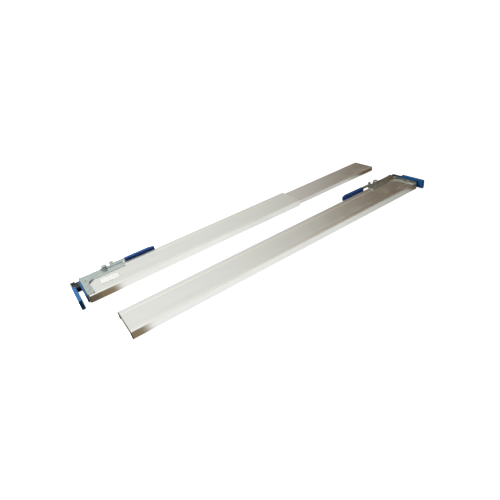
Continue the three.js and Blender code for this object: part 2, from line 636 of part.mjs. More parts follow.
// The blue finger tab: a moulded bar with a sloping tip, slotted for the lever's tongue.
function releaseTab() {
  const start = LEVER_END + RUNNING;
  const near = HALF + TAB_GAP;
  const top = BRACKET_TOP + LEVER_SHEET + 2 * RUNNING;
  const shape = new THREE.Shape();
  shape.moveTo(start, near);
  shape.lineTo(start + TAB_LENGTH, near);
  shape.lineTo(start + TAB_LENGTH, near + TAB_THICKNESS / 2);
  shape.lineTo(start + TAB_LENGTH - TAB_CHAMFER, near + TAB_THICKNESS);
  shape.lineTo(start, near + TAB_THICKNESS);
  const slotHalf = LEVER_SHEET / 2 + RUNNING;
  const slot = box(
    [start - CLEAR, TAB_MIDDLE - slotHalf, TONGUE_TOP - TONGUE_HEIGHT - RUNNING],
    [TONGUE_START + TONGUE_LENGTH + RUNNING, TAB_MIDDLE + slotHalf, TONGUE_TOP + RUNNING],
  );
  return cut(upright(shape, top - TAB_HEIGHT, TAB_HEIGHT), slot);
}

// ---- torsion spring ------------------------------------------------------------------------------
// Wire wound round the stud's shank between the lever and the stud's head. The lower leg bears on the
// hook's outer side and turns with the lever; the upper leg stands in the carrier's shelf, behind the stud.
function leverSpring(leverAngle) {
  const radius = STUD_SHANK_RADIUS + RUNNING + WIRE_RADIUS;
  const spot = (angle, distance, z) => new THREE.Vector3(
    STUD_X + distance * Math.cos(angle),
    STUD_Y + distance * Math.sin(angle),
    z,
  );
  const contact = new THREE.Vector2(HOOK_X - STUD_X, LEVER_WIDTH / 2 + RUNNING + WIRE_RADIUS);
  const start = leverAngle + contact.angle() + Math.acos(radius / contact.length());
  const end = Math.PI - Math.acos(radius / SPRING_FOOT_REACH) + SPRING_TURNS * FULL_TURN;
  const low = SPRING_BASE + WIRE_RADIUS;
  const high = low + ((end - start) / FULL_TURN) * SPRING_PITCH;

  const points = [spot(start - Math.atan2(SPRING_LEG, radius), Math.hypot(SPRING_LEG, radius), low)];
  const steps = Math.round((COIL_POINTS * (end - start)) / FULL_TURN);
  for (let k = 0; k <= steps; k++) {
    const share = k / steps;
    points.push(spot(start + (end - start) * share, radius, low + (high - low) * share));
  }
  points.push(spot(Math.PI, SPRING_FOOT_REACH - 2 * WIRE_RADIUS, high));
  points.push(spot(Math.PI, SPRING_FOOT_REACH, high - 2 * WIRE_RADIUS));
  points.push(spot(Math.PI, SPRING_FOOT_REACH, SHELF_TOP - SPRING_FOOT_DEPTH));
  const path = new THREE.CatmullRomCurve3(points);
  const section = new THREE.Shape().absarc(0, 0, WIRE_RADIUS, 0, FULL_TURN);
  return extrude(section, 0, { steps: 5 * COIL_POINTS, extrudePath: path, curveSegments: 3 });
}

// ---- assembly ------------------------------------------------------------------------------------
function slide({ hand, mirror, supportLength, drawnOut, latchShift, leverAngle, at }) {
  const side = new THREE.Group();
  const add = (name, geometry, material, parent = side) => {
    const mesh = new THREE.Mesh(geometry, material);
    mesh.name = `${hand}_${name}`;
    parent.add(mesh);
    return mesh;
  };
  const cabinetStart = CABINET_START + drawnOut;
  const intermediateStart = cabinetStart + INTERMEDIATE_INSET;
  const chassisStart = intermediateStart + CHASSIS_INSET;
  const outerFoot = CABINET_FOOT + CABINET_SHEET + RUNNING;

  add('support_channel', supportChannel(supportLength), GALVANISED);
  add('latch_bracket', latchBracket(), ZINC);
  add('bracket_rivet_far', rivetHead(RIVET_X, RIVET_FAR_Y), ZINC);
  add('bracket_rivet_near', rivetHead(RIVET_X, RIVET_NEAR_Y), ZINC);
  add('end_trim', endTrim(), BLUE_PLASTIC);

  add('cabinet_member', cabinetMember(cabinetStart), GALVANISED);
  add('rear_bumper', rearBumper(cabinetStart), RUBBER);
  const outerCageStart = cabinetStart + OUTER_CAGE_INSET;
  const outerCage = ballCage(outerCageStart, OUTER_CAGE_TOP, OUTER_BALL_Y, OUTER_BALL_Z, outerFoot);
  add('outer_ball_cage', outerCage, BALL_STEEL);
  add('intermediate_member', intermediateMember(intermediateStart), GALVANISED);
  const innerCageStart = intermediateStart + INNER_CAGE_INSET;
  const innerCage = ballCage(innerCageStart, INNER_CAGE_TOP, INNER_BALL_Y, INNER_BALL_Z, INTERMEDIATE_FOOT);
  add('inner_ball_cage', innerCage, BALL_STEEL);
  add('chassis_member', chassisMember(chassisStart), GALVANISED);
  add('disconnect_rivet', disconnectRivet(chassisStart + DISCONNECT_AT), SPRING_STEEL);
  add('disconnect_lever', disconnectLever(chassisStart + DISCONNECT_AT), BLACK_PLASTIC);

  const latch = new THREE.Group();
  latch.position.x = latchShift;
  side.add(latch);
  add('latch_carrier', latchCarrier(), ZINC, latch);
  add('latch_block', latchBlock(), BLACK_PLASTIC, latch);
  add('pull_handle', pullHandle(), BLUE_PLASTIC, latch);

  const drawnLatch = new THREE.Group();
  drawnLatch.position.x = latchShift + LATCH_TRAVEL;
  side.add(drawnLatch);
  add('pivot_stud', pivotStud(), ZINC, drawnLatch);
  add('lever_spring', leverSpring(THREE.MathUtils.degToRad(leverAngle)), SPRING_STEEL, drawnLatch);

  const lever = new THREE.Group();
  const swing = new THREE.Group();
  lever.position.set(STUD_X, STUD_Y, 0);
  lever.rotation.z = THREE.MathUtils.degToRad(leverAngle);
  swing.position.set(-STUD_X, -STUD_Y, 0);
  lever.add(swing);
  drawnLatch.add(lever);
  add('release_lever', releaseLever(), ZINC, swing);
  add('release_tab', releaseTab(), BLUE_PLASTIC, swing);

  side.scale.x = mirror;
  side.position.set(...at);
  return side;
}

const pair = new THREE.Group();
pair.add(slide({
  hand: 'left',
  mirror: 1,
  supportLength: LEFT_SUPPORT_LENGTH,
  drawnOut: LEFT_DRAWN_OUT,
  latchShift: -LATCH_TRAVEL,
  leverAngle: 0,
  at: [0, 0, 0],
}));
pair.add(slide({
  hand: 'right',
  mirror: -1,
  supportLength: RIGHT_SUPPORT_LENGTH,
  drawnOut: 0,
  latchShift: 0,
  leverAngle: RIGHT_LEVER_ANGLE,
  at: [PAIR_STAGGER, -PAIR_SPACING, 0],
}));

// The origin is the middle of the pair's footprint, on the bench.
pair.updateMatrixWorld(true);
const extent = new THREE.Box3().setFromObject(pair, true);
const middle = extent.getCenter(new THREE.Vector3());
pair.position.set(-middle.x, -middle.y, 0);

export default pair;
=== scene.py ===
# %% [markdown]
# # A pair of cabinet drawer slides
# Two telescopic slides, a left and a right hand, lie on a bench with their webs up. Each is a wide
# galvanised channel, narrower channels inside it, and a zinc-plated latch bracket with blue plastic grips.
# The solids, their sizes and the way they move come from the frame, so this script never moves them. What
# it adds is the surface: rounded edges that catch the light, rolled and plated steel, moulded plastic, and
# the few small pieces that are easier to draw as surfaces than as solids.

# %% The frame
import math

import bpy
import numpy as np
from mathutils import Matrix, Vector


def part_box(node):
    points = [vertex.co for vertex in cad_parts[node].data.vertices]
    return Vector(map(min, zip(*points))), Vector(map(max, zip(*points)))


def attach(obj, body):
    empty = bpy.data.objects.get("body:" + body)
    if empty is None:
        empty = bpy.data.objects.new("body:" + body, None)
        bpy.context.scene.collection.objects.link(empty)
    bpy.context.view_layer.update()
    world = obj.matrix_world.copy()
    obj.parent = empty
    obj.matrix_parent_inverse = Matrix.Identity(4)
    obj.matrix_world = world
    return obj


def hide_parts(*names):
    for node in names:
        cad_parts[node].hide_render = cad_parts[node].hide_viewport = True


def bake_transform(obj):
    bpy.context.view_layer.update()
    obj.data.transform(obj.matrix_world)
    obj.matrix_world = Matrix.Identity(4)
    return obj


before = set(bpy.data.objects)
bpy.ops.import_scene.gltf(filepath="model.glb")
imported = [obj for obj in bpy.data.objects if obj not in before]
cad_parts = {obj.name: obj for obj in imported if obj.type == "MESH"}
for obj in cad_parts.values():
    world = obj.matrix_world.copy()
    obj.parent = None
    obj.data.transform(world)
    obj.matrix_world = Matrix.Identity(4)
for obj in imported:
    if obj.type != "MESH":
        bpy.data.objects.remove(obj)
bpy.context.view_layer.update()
HANDS = ("left", "right")

# %% [markdown]
# ## Camera
# A short lens close to the slides makes the near ends look large and the far ends small. A camera is a
# place, three angles and a focal length. Angles in degrees are easier to read and to change than a
# tracking constraint, and nothing here moves later, so the camera is set directly.

# %% Camera
camera_data = bpy.data.cameras.new("camera")
camera_data.lens = 27.63
camera_data.sensor_width = 36
camera_data.clip_start, camera_data.clip_end = 0.01, 50
camera = bpy.data.objects.new("camera", camera_data)
camera.location = (-0.24792, -0.38897, 0.25757)
camera.rotation_euler = [math.radians(angle) for angle in (58.252, 8.619, -34.621)]
bpy.context.scene.collection.objects.link(camera)
bpy.context.scene.camera = camera
print("camera at", tuple(round(v, 4) for v in camera.location))

# %% [markdown]
# ## Material helpers
# Every finish here is a Principled shader fed by a few noise patterns. Small helpers keep the node code
# short: one adds a node, one joins two sockets. A pattern that several finishes share is a node group, which
# is made once and placed in each material with its own numbers. Patterns read Object coordinates, which are
# the frame's own metres, so a grain has the same size on every piece and rides with it.

# %% Nodes and groups
def add_node(tree, kind, **settings):
    """Adds one node; names that match an input set its value, the others are node properties."""
    node = tree.nodes.new(kind)
    for name, value in settings.items():
        label = name.replace("_", " ")
        found = next((s for s in node.inputs if s.name.lower() == label), None)
        if found is None:
            setattr(node, name, value)
        else:
            found.default_value = value
    return node


def join(tree, start, end):
    """Joins an output socket to an input socket."""
    tree.links.new(start, end)


def new_group(name, inputs, outputs):
    """An empty node group whose sockets carry numbers; inputs are (name, default) pairs, outputs are names."""
    tree = bpy.data.node_groups.new(name, "ShaderNodeTree")
    for label, default in inputs:
        socket = tree.interface.new_socket(label, in_out="INPUT", socket_type="NodeSocketFloat")
        socket.default_value = default
    for label in outputs:
        tree.interface.new_socket(label, in_out="OUTPUT", socket_type="NodeSocketFloat")
    return tree, tree.nodes.new("NodeGroupInput"), tree.nodes.new("NodeGroupOutput")


def use_group(tree, group, **values):
    """Places a node group in a material with its own input values."""
    node = tree.nodes.new("ShaderNodeGroup")
    node.node_tree = group
    for name, value in values.items():
        node.inputs[name.replace("_", " ")].default_value = value
    return node


print("helpers:", [helper.__name__ for helper in (add_node, join, new_group, use_group)])

# %% [markdown]
# Three kinds of node do most of the work between patterns and shader: a calculation, a mix of two colours, and
# a ramp that turns a number into a tone. Each helper returns the output socket, so calls can be put inside
# calls and read like a formula.

# %% Calculations, mixes and ramps
def maths(tree, operation, a, b=0.0):
    """A Math node whose inputs may each be a number or a socket; b is left out where one input is enough."""
    node = add_node(tree, "ShaderNodeMath", operation=operation)
    for socket, value in zip(node.inputs, (a, b)):
        if isinstance(value, (int, float)):
            socket.default_value = value
        else:
            join(tree, value, socket)
    return node.outputs[0]


def blend_colours(tree, factor, a, b):
    """A colour Mix node: a where the factor is 0, b where it is 1. A colour may be a tuple or a socket."""
    node = add_node(tree, "ShaderNodeMix", data_type="RGBA")
    for socket, value in zip((node.inputs[0], node.inputs[6], node.inputs[7]), (factor, a, b)):
        if isinstance(value, tuple):
            socket.default_value = (*value, 1.0)
        else:
            join(tree, value, socket)
    return node.outputs[2]


def ramp(tree, factor, stops):
    """A Color Ramp through (position, grey value or colour) stops."""
    node = tree.nodes.new("ShaderNodeValToRGB")
    elements = node.color_ramp.elements
    while len(elements) < len(stops):
        elements.new(0.5)
    for element, (place, value) in zip(elements, stops):
        element.position = place
        element.color = (*value, 1) if isinstance(value, tuple) else (value, value, value, 1)
    join(tree, factor, node.inputs[0])
    return node.outputs[0]


print("helpers:", [helper.__name__ for helper in (maths, blend_colours, ramp)])

# %% [markdown]
# ## Rolling lines
# Sheet steel leaves the mill with very fine lines along the rolling direction, which here is the length of
# the slides. Stretching a noise does it: coordinates are scaled far more across the slide than along it.
# One group gives a height for a bump, a tone that lightens and darkens, and a roughness, so that the lines
# agree in all three.

# %% Rolling lines group
WIDE_LINES = (6.0, 260.0, 260.0)
FINE_SHARE = 0.6

lines_group, g_in, g_out = new_group(
    "rolling_lines",
    [("Along", 30.0), ("Across", 2500.0), ("Roughness", 0.3), ("Spread", 0.08)],
    ["Height", "Tone", "Roughness"],
)
place = add_node(lines_group, "ShaderNodeTexCoord")
stretch = add_node(lines_group, "ShaderNodeCombineXYZ")
join(lines_group, g_in.outputs["Along"], stretch.inputs[0])
join(lines_group, g_in.outputs["Across"], stretch.inputs[1])
join(lines_group, g_in.outputs["Across"], stretch.inputs[2])
scaled = add_node(lines_group, "ShaderNodeVectorMath", operation="MULTIPLY")
join(lines_group, place.outputs["Object"], scaled.inputs[0])
join(lines_group, stretch.outputs[0], scaled.inputs[1])
fine = add_node(lines_group, "ShaderNodeTexNoise", scale=1.0, detail=3.0, roughness=0.6)
join(lines_group, scaled.outputs[0], fine.inputs["Vector"])
wide_place = add_node(lines_group, "ShaderNodeVectorMath", operation="MULTIPLY")
wide_place.inputs[1].default_value = WIDE_LINES
join(lines_group, place.outputs["Object"], wide_place.inputs[0])
wide = add_node(lines_group, "ShaderNodeTexNoise", scale=1.0, detail=2.0, roughness=0.5)
join(lines_group, wide_place.outputs[0], wide.inputs["Vector"])
both = maths(lines_group, "ADD", maths(lines_group, "MULTIPLY", fine.outputs[0], FINE_SHARE),
             maths(lines_group, "MULTIPLY", wide.outputs[0], 1 - FINE_SHARE))
centred = maths(lines_group, "SUBTRACT", both, 0.5)
join(lines_group, fine.outputs[0], g_out.inputs["Height"])
join(lines_group, both, g_out.inputs["Tone"])
join(lines_group, maths(lines_group, "ADD", g_in.outputs["Roughness"],
                        maths(lines_group, "MULTIPLY", centred, g_in.outputs["Spread"])),
     g_out.inputs["Roughness"])
print("group:", lines_group.name)

# %% [markdown]
# ## Handling marks
# Bright metal that has been held shows soft smears and a few finger marks. They don't change the colour
# much, they make the metal rougher. Two noises of very different size, one cutting the other off, give
# patches with ragged edges.

# %% Handling marks group
PATCH_EDGE = [(0.5, 0.0), (0.66, 1.0)]
SMEAR_EDGE = [(0.35, 0.2), (0.7, 1.0)]
SMEAR_FINENESS = 7.0

marks_group, g_in, g_out = new_group(
    "handling_marks",
    [("Size", 45.0), ("Amount", 0.1)],
    ["Mask", "Roughness"],
)
place = add_node(marks_group, "ShaderNodeTexCoord")
patches = add_node(marks_group, "ShaderNodeTexNoise", detail=4.0, roughness=0.62, distortion=0.6)
join(marks_group, place.outputs["Object"], patches.inputs["Vector"])
join(marks_group, g_in.outputs["Size"], patches.inputs["Scale"])
smears = add_node(marks_group, "ShaderNodeTexNoise", detail=5.0, roughness=0.7)
join(marks_group, place.outputs["Object"], smears.inputs["Vector"])
join(marks_group, maths(marks_group, "MULTIPLY", g_in.outputs["Size"], SMEAR_FINENESS), smears.inputs["Scale"])
chosen = ramp(marks_group, patches.outputs[0], PATCH_EDGE)
broken = ramp(marks_group, smears.outputs[0], SMEAR_EDGE)
mask = maths(marks_group, "MULTIPLY", chosen, broken)
join(marks_group, mask, g_out.inputs["Mask"])
join(marks_group, maths(marks_group, "MULTIPLY", mask, g_in.outputs["Amount"]), g_out.inputs["Roughness"])
print("group:", marks_group.name)

# %% [markdown]
# ## Moulded grain
# Plastic from a spark-eroded mould has a fine even grain that breaks up its gloss. A noise of about a third
# of a millimetre is enough, with a slower one that shifts the colour a little, as thick and thin places of
# a moulding cool differently.

# %% Moulded grain group
COOLING_SCALE = 130.0

grain_group, g_in, g_out = new_group(
    "moulded_grain",
    [("Size", 3000.0), ("Roughness", 0.4), ("Spread", 0.15)],
    ["Height", "Tone", "Roughness"],
)
place = add_node(grain_group, "ShaderNodeTexCoord")
grain = add_node(grain_group, "ShaderNodeTexNoise", detail=2.0, roughness=0.5)
join(grain_group, place.outputs["Object"], grain.inputs["Vector"])
join(grain_group, g_in.outputs["Size"], grain.inputs["Scale"])
cooling = add_node(grain_group, "ShaderNodeTexNoise", scale=COOLING_SCALE, detail=3.0, roughness=0.5)
join(grain_group, place.outputs["Object"], cooling.inputs["Vector"])
join(grain_group, grain.outputs[0], g_out.inputs["Height"])
join(grain_group, cooling.outputs[0], g_out.inputs["Tone"])
off_centre = maths(grain_group, "SUBTRACT", cooling.outputs[0], 0.5)
join(grain_group, maths(grain_group, "ADD", g_in.outputs["Roughness"],
                        maths(grain_group, "MULTIPLY", off_centre, g_in.outputs["Spread"])),
     g_out.inputs["Roughness"])
print("group:", grain_group.name)

# %% [markdown]
# ## Finishes
# The finishes differ in a few numbers only, so two functions make them. Metals take their colour from the
# reflected studio, so their base colour is light and the roughness does most of the work. Plastics have a
# strong base colour under a thin even gloss.
#
# Two things belong to single metals, and both are painted light. A thin band of painted shade marks the
# end edge of one channel, found by its distance from a given x. The upright cut sides of the left bracket are
# painted lighter than its flats, a painted reflection, found by how far a face leans from level.

# %% Metal
# The first two numbers give the width and tone of a thin band of painted shade at a channel's end.
END_SHADE_WIDTH, END_SHADE_TONE = 0.0010, (0.17, 0.155, 0.125)
BLOOM_SCALE, BLOOM_EDGE = 90.0, [(0.4, 0.0), (0.65, 1.0)]
# How far a face leans before it takes the painted reflection on upright sides.
UPRIGHT_EDGE = [(0.3, 1.0), (0.7, 0.0)]
DULLING = 0.12
LINE_DEPTH = 0.00002


def steel(name, colour, shade, roughness, spread, marks, relief, mottled=None, end_shade_x=None, painted_sides=None,
          across=2500.0):
    """A metal: rolled lines in colour, roughness and bump, plus handling marks. Fine lines are 1 / across
    metres apart, mottled is a second tint in patches, the end x places a thin band of painted shade across the
    sheet, and the side colour is a painted reflection laid on upright faces."""
    material = bpy.data.materials.new(name)
    material.use_nodes = True
    tree = material.node_tree
    shader = tree.nodes["Principled BSDF"]
    shader.inputs["Metallic"].default_value = 1.0
    where = add_node(tree, "ShaderNodeTexCoord")
    lines = use_group(tree, lines_group, Across=across, Roughness=roughness, Spread=spread)
    smears = use_group(tree, marks_group, Amount=marks)
    base = blend_colours(tree, lines.outputs["Tone"], shade, colour)
    if mottled is not None:
        bloom = add_node(tree, "ShaderNodeTexNoise", scale=BLOOM_SCALE, detail=3.0, roughness=0.6)
        join(tree, where.outputs["Object"], bloom.inputs["Vector"])
        base = blend_colours(tree, ramp(tree, bloom.outputs[0], BLOOM_EDGE), base, mottled)
    base = blend_colours(tree, maths(tree, "MULTIPLY", smears.outputs["Mask"], DULLING), base, shade)
    # Painted shade: a thin dark band across the sheet near the given end x.
    if end_shade_x is not None:
        along = add_node(tree, "ShaderNodeSeparateXYZ")
        join(tree, where.outputs["Object"], along.inputs[0])
        distance = maths(tree, "ABSOLUTE", maths(tree, "SUBTRACT", along.outputs[0], end_shade_x))
        base = blend_colours(tree, maths(tree, "LESS_THAN", distance, END_SHADE_WIDTH), base, END_SHADE_TONE)
    # Painted reflection: faces that stand upright are lightened towards the side colour.
    if painted_sides is not None:
        facing = add_node(tree, "ShaderNodeSeparateXYZ")
        join(tree, where.outputs["Normal"], facing.inputs[0])
        flat = maths(tree, "ABSOLUTE", facing.outputs[2])
        base = blend_colours(tree, ramp(tree, flat, UPRIGHT_EDGE), base, painted_sides)
    join(tree, base, shader.inputs["Base Color"])
    join(tree, maths(tree, "ADD", lines.outputs["Roughness"], smears.outputs["Roughness"]),
         shader.inputs["Roughness"])
    bump = add_node(tree, "ShaderNodeBump", strength=relief, distance=LINE_DEPTH)
    join(tree, lines.outputs["Height"], bump.inputs["Height"])
    join(tree, bump.outputs[0], shader.inputs["Normal"])
    return material


# The end band printed here is painted shade.
print("sheared edge:", round(1000 * END_SHADE_WIDTH, 2), "mm, line depth:", round(1000 * LINE_DEPTH, 3), "mm")

# %% [markdown]
# The wide channels are galvanised sheet. Their rolling lines are coarser than those of the inner members, and
# only the right one gets a thin band of painted shade on its end edge, at its end towards -x. The brackets are
# zinc plated, which is darker and a little blue. On the right hand the zinc is tinted yellow-brown, a painted
# reflection of the brown surroundings at that end, and on the left its upright sides are painted lighter, a
# painted reflection as well. Studs, wires and balls have the least relief.

# %% The steels
# Only the right channel gets the painted end shade, at its end towards -x.
END_SHADE_X = {"left": None, "right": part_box("right_support_channel")[0][0]}
galvanised = {
    hand: steel(f"galvanised_sheet_{hand}", (0.91, 0.91, 0.89), (0.73, 0.73, 0.71), 0.3, 0.10, 0.10, 0.35,
                end_shade_x=END_SHADE_X[hand], across=1300.0)
    for hand in HANDS
}
inner_steel = steel("inner_member_steel", (0.80, 0.79, 0.77), (0.70, 0.69, 0.67), 0.32, 0.12, 0.10, 0.35)
zinc = {
    # The left bracket's light upright sides are a painted reflection.
    "left": steel("zinc_plating_left_painted_sides", (0.48, 0.56, 0.565), (0.42, 0.485, 0.49), 0.30, 0.06, 0.12, 0.10,
                  (0.54, 0.59, 0.57), painted_sides=(0.86, 0.90, 0.90)),
    # The right hand's yellow-brown tint is a painted reflection of the brown end of the room.
    "right": steel("zinc_plating_right_painted_reflection", (0.49, 0.51, 0.47), (0.43, 0.445, 0.41), 0.30, 0.06, 0.12, 0.10,
                   (0.54, 0.55, 0.50)),
}
bright_zinc = steel("bright_zinc", (0.60, 0.66, 0.68), (0.50, 0.55, 0.57), 0.30, 0.05, 0.05, 0.05)
wire_steel = steel("spring_wire", (0.46, 0.47, 0.49), (0.36, 0.37, 0.39), 0.28, 0.05, 0.0, 0.05)
ball_steel = steel("ball_cage_steel", (0.78, 0.79, 0.81), (0.66, 0.67, 0.69), 0.16, 0.05, 0.05, 0.05)
steels = [*galvanised.values(), *zinc.values(), inner_steel, bright_zinc, wire_steel, ball_steel]
print("steels:", [material.name for material in steels])

# %% [markdown]
# Plastic isn't a metal, so its colour is its own. The grips are one blue. The release tabs take a darker copy
# of it, painted shade for the weaker light they get. The latch block and the disconnect levers are black, and
# rubber and paper are the same function with other numbers.

# %% Plastic, rubber and paper
GRAIN_DEPTH = 0.00003


def moulded(name, colour, shade, roughness, relief, grain_size=3000.0, shine=0.5):
    """A plastic, rubber or paper: two close colours, grain in the bump and a slow change of gloss."""
    material = bpy.data.materials.new(name)
    material.use_nodes = True
    tree = material.node_tree
    shader = tree.nodes["Principled BSDF"]
    shader.inputs["Specular IOR Level"].default_value = shine
    grain = use_group(tree, grain_group, Size=grain_size, Roughness=roughness)
    join(tree, blend_colours(tree, grain.outputs["Tone"], shade, colour), shader.inputs["Base Color"])
    join(tree, grain.outputs["Roughness"], shader.inputs["Roughness"])
    bump = add_node(tree, "ShaderNodeBump", strength=relief, distance=GRAIN_DEPTH)
    join(tree, grain.outputs["Height"], bump.inputs["Height"])
    join(tree, bump.outputs[0], shader.inputs["Normal"])
    return material


blue = moulded("blue_moulding", (0.002, 0.115, 0.34), (0.002, 0.095, 0.27), 0.36, 0.25, shine=0.4)
# A darker copy of the blue: painted shade for the release tabs.
shaded_blue = moulded("shaded_blue_moulding", (0.003, 0.065, 0.27), (0.002, 0.052, 0.22), 0.36, 0.25, shine=0.25)
black = moulded("black_moulding", (0.007, 0.007, 0.008), (0.004, 0.004, 0.005), 0.55, 0.3)
rubber = moulded("bumper_rubber", (0.018, 0.018, 0.018), (0.010, 0.010, 0.010), 0.85, 0.5, 1800.0)
paper = moulded("label_paper", (0.78, 0.78, 0.75), (0.73, 0.73, 0.70), 0.42, 0.12, 5000.0)
print("plastics:", blue.name, shaded_blue.name, black.name, rubber.name, paper.name)

# %% [markdown]
# ## The solids
# The frame's solids have razor-sharp edges, which no pressed sheet has. A Weld joins their loose
# triangles, a small Bevel rounds each sharp edge, and Weighted Normal keeps the flats flat while the bends
# shade smoothly. Modifiers leave the solid itself alone, so its size and place stay as designed.

# %% Rounded edges and finishes
FINISH = {
    "support_channel": galvanised, "cabinet_member": inner_steel, "intermediate_member": inner_steel,
    "chassis_member": inner_steel, "latch_bracket": zinc, "bracket_rivet_far": zinc,
    "bracket_rivet_near": zinc, "end_trim": blue, "pivot_stud": bright_zinc, "lever_spring": wire_steel,
    "rear_bumper": rubber, "outer_ball_cage": ball_steel, "inner_ball_cage": ball_steel,
    "disconnect_rivet": wire_steel, "disconnect_lever": black, "latch_carrier": zinc,
    "latch_block": black, "pull_handle": blue, "release_lever": zinc, "release_tab": shaded_blue,
}
SHEET_ROUND = 0.00015
EDGE_ROUND = {
    "end_trim": 0.0, "lever_spring": 0.0, "outer_ball_cage": 0.0, "inner_ball_cage": 0.0,
    "latch_block": 0.0004, "release_tab": 0.0006, "pull_handle": 0.0003,
}
WELD_REACH, SHARP_FROM = 1e-6, math.radians(35)


def soften(node, width):
    """Weld, Bevel and Weighted Normal on a solid of the frame."""
    mesh = node.data
    mesh.polygons.foreach_set("use_smooth", np.ones(len(mesh.polygons), bool))
    weld = node.modifiers.new("weld", "WELD")
    weld.merge_threshold = WELD_REACH
    if width > 0:
        bevel = node.modifiers.new("round", "BEVEL")
        bevel.width, bevel.segments = width, 2
        bevel.limit_method, bevel.angle_limit = "ANGLE", SHARP_FROM
        bevel.use_clamp_overlap = True
    normals = node.modifiers.new("normals", "WEIGHTED_NORMAL")
    normals.mode, normals.weight, normals.keep_sharp = "FACE_AREA", 50, False


for name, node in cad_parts.items():
    hand, piece = name.split("_", 1)
    soften(node, EDGE_ROUND.get(piece, SHEET_ROUND))
    node.data.materials.clear()
    finish = FINISH[piece]
    node.data.materials.append(finish[hand] if isinstance(finish, dict) else finish)
print("finished solids:", len(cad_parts))

# %% [markdown]
# ## Surfaces made with numpy
# The small pieces below are closed surfaces worked out on a grid of two parameters: u runs round a section
# and v runs along the piece. All points come from array formulas, and one helper turns any such grid into
# a mesh whose faces point outwards.

# %% Grid helper
def closed_surface(name, points, material, body=None):
    """A closed mesh from points[v, u, xyz]: rings joined round u and along v, with a fan over each end."""
    rings, around, _ = points.shape
    v, u = np.meshgrid(np.arange(rings - 1), np.arange(around), indexing="ij")
    a, b = v * around + u, v * around + (u + 1) % around
    quads = np.stack([a, b, b + around, a + around], axis=-1).reshape(-1, 4)
    ends = points[[0, -1]].mean(axis=1)
    vertices = np.concatenate([points.reshape(-1, 3), ends])
    low, high = rings * around, rings * around + 1
    ring = np.arange(around)
    first = np.stack([(ring + 1) % around, ring, np.full(around, low)], axis=-1)
    top = (rings - 1) * around
    last = np.stack([top + ring, top + (ring + 1) % around, np.full(around, high)], axis=-1)
    faces = [*quads.tolist(), *first.tolist(), *last.tolist()]
    mesh = bpy.data.meshes.new(name)
    mesh.from_pydata(vertices.tolist(), [], faces)
    p = vertices[np.concatenate([quads[:, [0, 1, 2]], quads[:, [0, 2, 3]], first, last])]
    volume = np.einsum("ij,ij->", p[:, 0], np.cross(p[:, 1], p[:, 2])) / 6
    if volume < 0:
        mesh.flip_normals()
    mesh.polygons.foreach_set("use_smooth", np.ones(len(mesh.polygons), bool))
    mesh.materials.append(material)
    piece = bpy.data.objects.new(name, mesh)
    bpy.context.scene.collection.objects.link(piece)
    if body is not None:
        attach(piece, body)
    print(f"{name}: {len(vertices)} points, {abs(volume) * 1e9:.1f} mm3")
    return piece


def centre_of(node):
    """Centre, lowest and highest corner of a frame node, as arrays."""
    low, high = (np.array(corner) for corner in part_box(node))
    return (low + high) / 2, low, high


# %% [markdown]
# ## Label
# A plain paper label sits on the left slide's web, close to the latch. It carries no print. Real labels
# lift a little at the corners, so the sheet is a rounded rectangle whose height grows towards two corners.

# %% Label
LABEL_LENGTH, LABEL_WIDTH, LABEL_THICK = 0.0235, 0.0125, 0.00010
LABEL_TURN, LABEL_LIFT = math.radians(-6), 0.00018
LABEL_FROM_END, LABEL_OFF_CENTRE, LABEL_GAP = 0.0303, -0.0020, 0.00002
LABEL_RINGS, LABEL_SIDES, SMALLEST_RING = 14, 96, 0.02
CORNER_POWER = 0.2
PANEL_DROP = 0.0003


def label_surface(centre_x, centre_y, base):
    """Rings of one rounded rectangle, a superellipse: x = sign(cos u) |cos u|^p, y = sign(sin u) |sin u|^p with
    p = CORNER_POWER, in half sizes. Their scale grows from the middle out below and shrinks again above. The
    whole is turned by LABEL_TURN, and its height is raised by the cube of x times y where that is positive."""
    u = np.linspace(0, 2 * np.pi, LABEL_SIDES, endpoint=False)
    outline = np.stack([np.sign(np.cos(u)) * np.abs(np.cos(u)) ** CORNER_POWER * LABEL_LENGTH / 2,
                        np.sign(np.sin(u)) * np.abs(np.sin(u)) ** CORNER_POWER * LABEL_WIDTH / 2], axis=-1)
    growing = np.linspace(SMALLEST_RING, 1, LABEL_RINGS)
    shrinking = np.linspace(1, SMALLEST_RING, LABEL_RINGS)
    scale = np.concatenate([growing, shrinking])
    level = np.concatenate([np.zeros(LABEL_RINGS), np.full(LABEL_RINGS, LABEL_THICK)])
    flat = outline[None] * scale[:, None, None]
    across = flat[..., 0] / (LABEL_LENGTH / 2) * flat[..., 1] / (LABEL_WIDTH / 2)
    lift = LABEL_LIFT * np.clip(across, 0, 1) ** 3
    cosine, sine = math.cos(LABEL_TURN), math.sin(LABEL_TURN)
    turn = np.array([[cosine, -sine], [sine, cosine]])
    placed = flat @ turn.T + np.array([centre_x, centre_y])
    return np.concatenate([placed, (base + level[:, None] + lift)[..., None]], axis=-1)


centre, low, high = centre_of("left_support_channel")
web_top = high[2] - PANEL_DROP
label = closed_surface(
    "left_label",
    label_surface(low[0] + LABEL_FROM_END, centre[1] + LABEL_OFF_CENTRE, web_top + LABEL_GAP),
    paper, "supports",
)

# %% [markdown]
# ## Lever springs
# A torsion spring sits round each stud. Its long leg bears on the lever's hook and its short leg stands in
# the carrier's shelf. Drawing it here gives a round wire, and its long leg is set to each lever's own turn
# while the coil stays on the stud.
#
# First comes the round wire: a circle carried along a path. The circle needs a direction to start from at each
# point, and taking it over from the point before keeps the wire from twisting.

# %% Round wire
WIRE, WIRE_SIDES = 0.00018, 12


